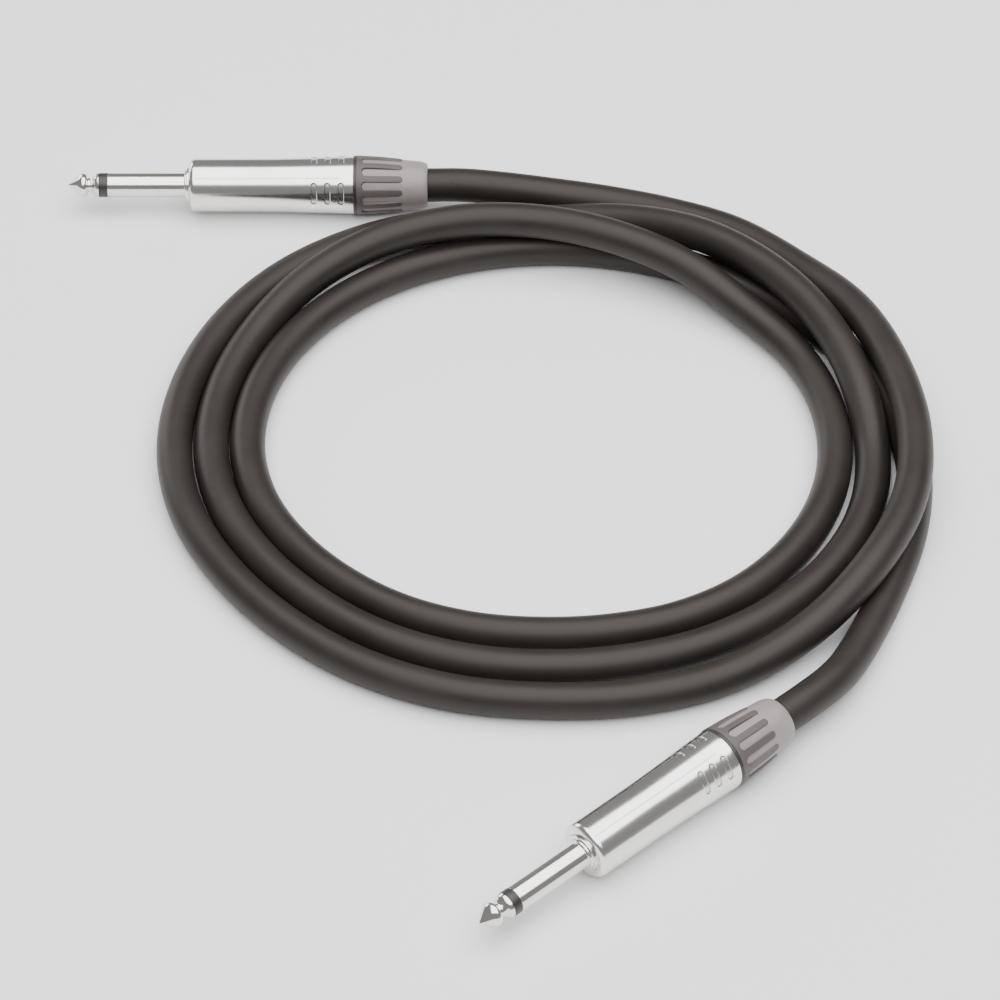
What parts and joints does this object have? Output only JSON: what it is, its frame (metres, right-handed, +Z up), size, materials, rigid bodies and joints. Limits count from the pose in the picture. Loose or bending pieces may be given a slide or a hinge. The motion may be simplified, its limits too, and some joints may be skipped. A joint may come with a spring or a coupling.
{
  "type": "instrument cable",
  "caption": "Heavy round black instrument cable lying in a flat coil, with a straight 6.35 mm two-pole plug with a nickel shell and a grey screwed gland on each end.",
  "frame": {"origin": "on the floor under the centre of the box round the two plugs, which is close to the coil's middle", "axes": "+Z up from the floor, -X the way the far plug's tip points, -Y towards the near plug's tip"},
  "size_m": [0.2181, 0.262, 0.018],
  "materials": {
    "cable_jacket": "satin, extruded",
    "contact_nickel": "polished nickel",
    "shell_nickel": "satin-polished nickel, brushed round the axis",
    "insulator_black": "moulded",
    "liner_plastic": "moulded",
    "terminal_brass": "stamped",
    "solder": "cast solder",
    "core_insulation": "extruded",
    "shield_copper": "twisted copper strands",
    "nut_grey": "moulded, fine texture",
    "grip_dark_grey": "soft overmould"
  },
  "bodies": {
    "root": {"cable_coil": "cable_jacket", "cable_lead_a": "cable_jacket", "cable_lead_b": "cable_jacket", "tip_contact_a": "contact_nickel", "tip_insulator_a": "insulator_black", "sleeve_a": "contact_nickel", "shell_a": "shell_nickel", "seal_ring_a": "insulator_black", "shell_liner_a": "liner_plastic", "rear_insulator_a": "liner_plastic", "tip_terminal_a": "terminal_brass", "ground_terminal_a": "terminal_brass", "tip_solder_a": "solder", "ground_solder_a": "solder", "inner_core_a": "core_insulation", "shield_pigtail_a": "shield_copper", "tip_contact_b": "contact_nickel", "tip_insulator_b": "insulator_black", "sleeve_b": "contact_nickel", "shell_b": "shell_nickel", "seal_ring_b": "insulator_black", "shell_liner_b": "liner_plastic", "rear_insulator_b": "liner_plastic", "tip_terminal_b": "terminal_brass", "ground_terminal_b": "terminal_brass", "tip_solder_b": "solder", "ground_solder_b": "solder", "inner_core_b": "core_insulation", "shield_pigtail_b": "shield_copper"},
    "collet_a": {"cable_collet_a": "liner_plastic"},
    "nut_a": {"gland_nut_a": "nut_grey", "nut_grip_a": "grip_dark_grey"},
    "collet_b": {"cable_collet_b": "liner_plastic"},
    "nut_b": {"gland_nut_b": "nut_grey", "nut_grip_b": "grip_dark_grey"}
  },
  "joints": [
    {"name": "collet_a_slide", "type": "slide", "parent": "root", "child": "collet_a", "axis": [1, 0, 0], "range_m": [0, 0.005]},
    {"name": "nut_a_turn", "type": "hinge", "parent": "collet_a", "child": "nut_a", "pos_m": [0.0036, 0.1231, 0.00775], "axis": [1, 0, 0], "range_deg": [0, 1800]},
    {"name": "collet_b_slide", "type": "slide", "parent": "root", "child": "collet_b", "axis": [0.7415, 0.671, 0], "range_m": [0, 0.005]},
    {"name": "nut_b_turn", "type": "hinge", "parent": "collet_b", "child": "nut_b", "pos_m": [0.0871, -0.068, 0.00775], "axis": [0.7415, 0.671, 0], "range_deg": [0, 1800]}
  ],
  "couplings": [
    {"joint": "nut_a_turn", "follows": "collet_a_slide", "rad_per_m": 6283.2},
    {"joint": "nut_b_turn", "follows": "collet_b_slide", "rad_per_m": 6283.2}
  ]
}
